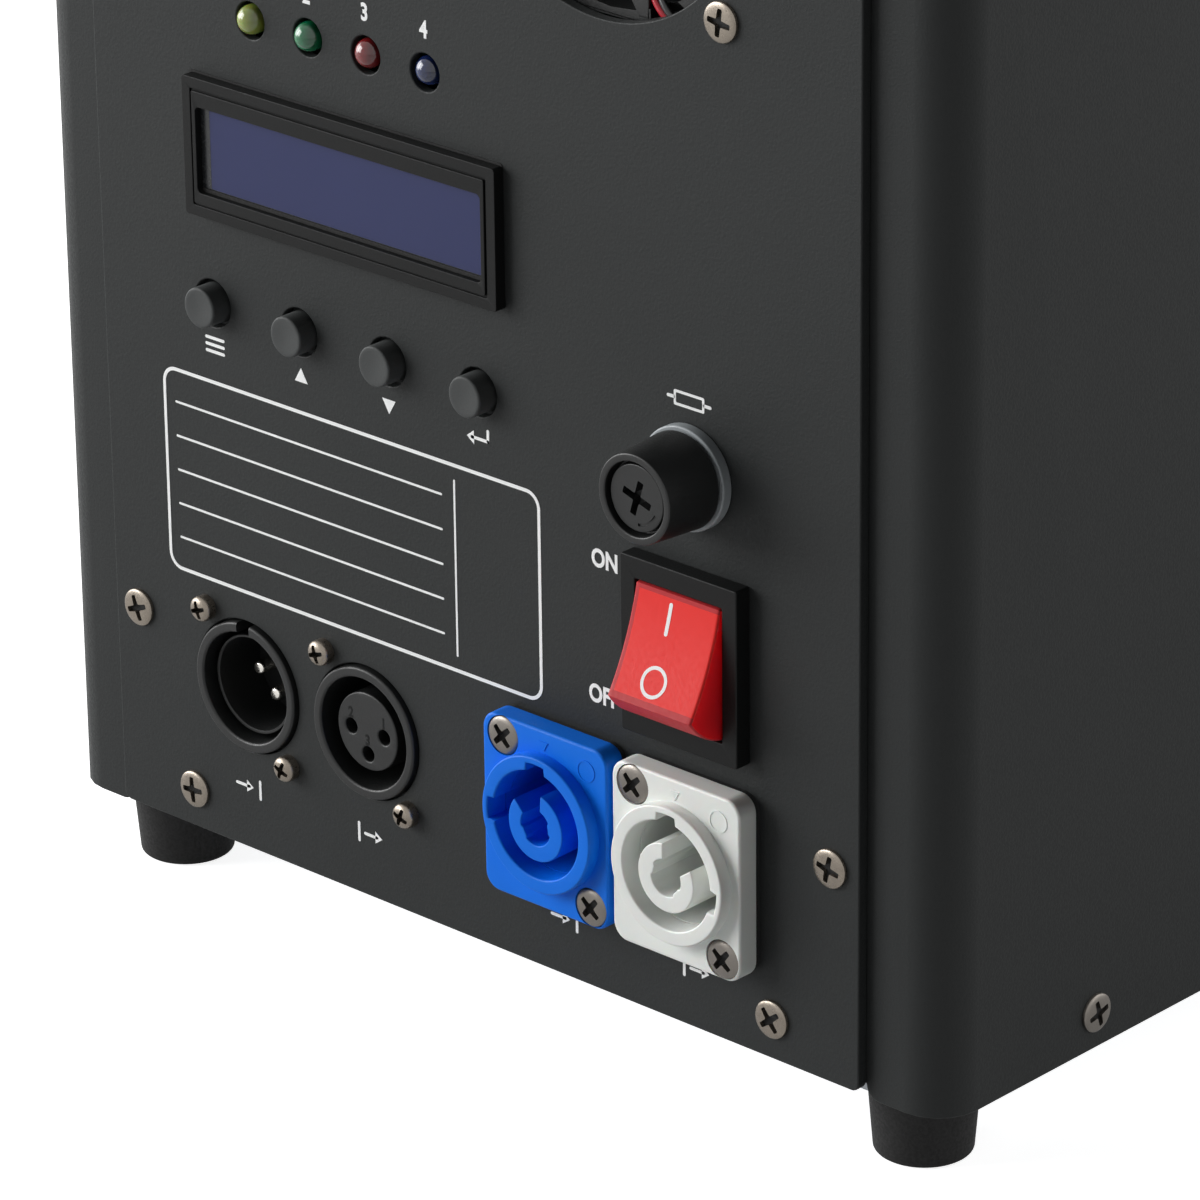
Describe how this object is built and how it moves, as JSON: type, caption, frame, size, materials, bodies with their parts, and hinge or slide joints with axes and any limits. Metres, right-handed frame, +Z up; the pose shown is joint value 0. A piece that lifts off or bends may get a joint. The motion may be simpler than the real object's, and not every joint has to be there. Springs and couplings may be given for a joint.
{
  "type": "cold spark machine",
  "caption": "Upright black cold spark effect machine with a display, keys, fan, rocker switch and sockets.",
  "frame": {"origin": "on the floor, under the middle of the bounding box", "axes": "+Z up, -Y towards the control panel, +X to the right of a person who faces that panel"},
  "size_m": [0.2, 0.2134, 0.2605],
  "materials": {
    "painted_steel": "textured matte powder coat, charcoal",
    "zinc_plated_steel": "zinc plated",
    "stainless_steel": "brushed",
    "nickel_plated_steel": "nickel plated",
    "aluminium": "machined",
    "copper": null,
    "white_ceramic": "unglazed",
    "black_rubber": "matte",
    "silicone_rubber": "matte",
    "black_plastic": "fine moulded grain",
    "blue_plastic": "semi-gloss",
    "white_plastic": "semi-gloss",
    "red_plastic": "translucent gloss",
    "lamp_yellow_green": "clear tinted epoxy",
    "lamp_green": "clear tinted epoxy",
    "lamp_red": "clear tinted epoxy",
    "lamp_blue": "clear tinted epoxy",
    "display_glass": "dark display glass",
    "clear_glass": "clear",
    "circuit_board": "green solder mask"
  },
  "bodies": {
    "machine": {"base_tray": "zinc_plated_steel", "left_cover": "painted_steel", "right_cover": "painted_steel", "control_panel": "painted_steel", "front_panel": "painted_steel", "top_plate": "painted_steel", "foot_panel_left": "black_rubber", "foot_panel_right": "black_rubber", "foot_front_left": "black_rubber", "foot_front_right": "black_rubber", "panel_screw_left": "nickel_plated_steel", "panel_screw_right": "nickel_plated_steel", "panel_screw_low_left": "nickel_plated_steel", "panel_screw_low_right": "nickel_plated_steel", "power_lamp": "lamp_yellow_green", "signal_lamp": "lamp_green", "error_lamp": "lamp_red", "heat_lamp": "lamp_blue", "display_bezel": "black_plastic", "display_module": "display_glass", "control_board": "circuit_board", "switch_frame": "black_plastic", "fuse_holder": "black_plastic", "signal_in_shell": "black_plastic", "signal_in_pins": "nickel_plated_steel", "signal_out_shell": "black_plastic", "signal_out_insert": "black_plastic", "mains_in_socket": "blue_plastic", "mains_out_socket": "white_plastic", "fan_frame": "black_plastic", "outlet_ring": "stainless_steel", "heating_tube": "stainless_steel", "tube_sleeve": "white_ceramic", "heater_coil": "copper", "mixing_block": "aluminium", "blower_housing": "black_plastic", "hopper": "stainless_steel", "hopper_seal": "silicone_rubber", "lid_hinge_base": "stainless_steel", "lid_hinge_pin": "stainless_steel", "feed_housing": "aluminium", "feed_motor": "zinc_plated_steel", "feed_bracket": "zinc_plated_steel", "feed_chute": "stainless_steel", "power_board": "circuit_board", "heater_board": "circuit_board", "left_handle": "black_plastic", "right_handle": "black_plastic"},
    "menu_button": {"menu_button": "black_plastic"},
    "up_button": {"up_button": "black_plastic"},
    "down_button": {"down_button": "black_plastic"},
    "enter_button": {"enter_button": "black_plastic"},
    "rocker": {"switch_rocker": "red_plastic"},
    "fuse": {"fuse_cartridge": "clear_glass"},
    "fuse_cap": {"fuse_cap": "black_plastic"},
    "fan_rotor": {"fan_rotor": "black_plastic"},
    "blower_impeller": {"blower_impeller": "black_plastic"},
    "feed_wheel": {"feed_wheel": "white_plastic"},
    "lid": {"hopper_lid": "painted_steel"}
  },
  "joints": [
    {"name": "menu_press", "type": "slide", "parent": "machine", "child": "menu_button", "axis": [0, 1, 0], "range_m": [0, 0.001], "stiffness_N_per_m": 600},
    {"name": "up_press", "type": "slide", "parent": "machine", "child": "up_button", "axis": [0, 1, 0], "range_m": [0, 0.001], "stiffness_N_per_m": 600},
    {"name": "down_press", "type": "slide", "parent": "machine", "child": "down_button", "axis": [0, 1, 0], "range_m": [0, 0.001], "stiffness_N_per_m": 600},
    {"name": "enter_press", "type": "slide", "parent": "machine", "child": "enter_button", "axis": [0, 1, 0], "range_m": [0, 0.001], "stiffness_N_per_m": 600},
    {"name": "rocker_tilt", "type": "hinge", "parent": "machine", "child": "rocker", "pos_m": [0.049, -0.09375, 0.0805], "axis": [1, 0, 0], "range_deg": [0, 44]},
    {"name": "fuse_pull", "type": "slide", "parent": "machine", "child": "fuse", "axis": [0, -1, 0], "range_m": [0, 0.04]},
    {"name": "fuse_turn", "type": "hinge", "parent": "fuse", "child": "fuse_cap", "pos_m": [0.049, -0.0953, 0.111], "axis": [0, 1, 0], "range_deg": [0, 90]},
    {"name": "fan_spin", "type": "hinge", "parent": "machine", "child": "fan_rotor", "pos_m": [0.031, -0.0883, 0.2118], "axis": [0, 1, 0], "continuous": true},
    {"name": "blower_spin", "type": "hinge", "parent": "machine", "child": "blower_impeller", "pos_m": [-0.018, 0.0067, 0.0463], "axis": [0, 1, 0], "continuous": true},
    {"name": "feed_spin", "type": "hinge", "parent": "machine", "child": "feed_wheel", "pos_m": [0, 0.0667, 0.1395], "axis": [0, 0, 1], "continuous": true},
    {"name": "lid_swing", "type": "hinge", "parent": "machine", "child": "lid", "pos_m": [0, 0.0977, 0.2515], "axis": [-1, 0, 0], "range_deg": [0, 110]}
  ]
}
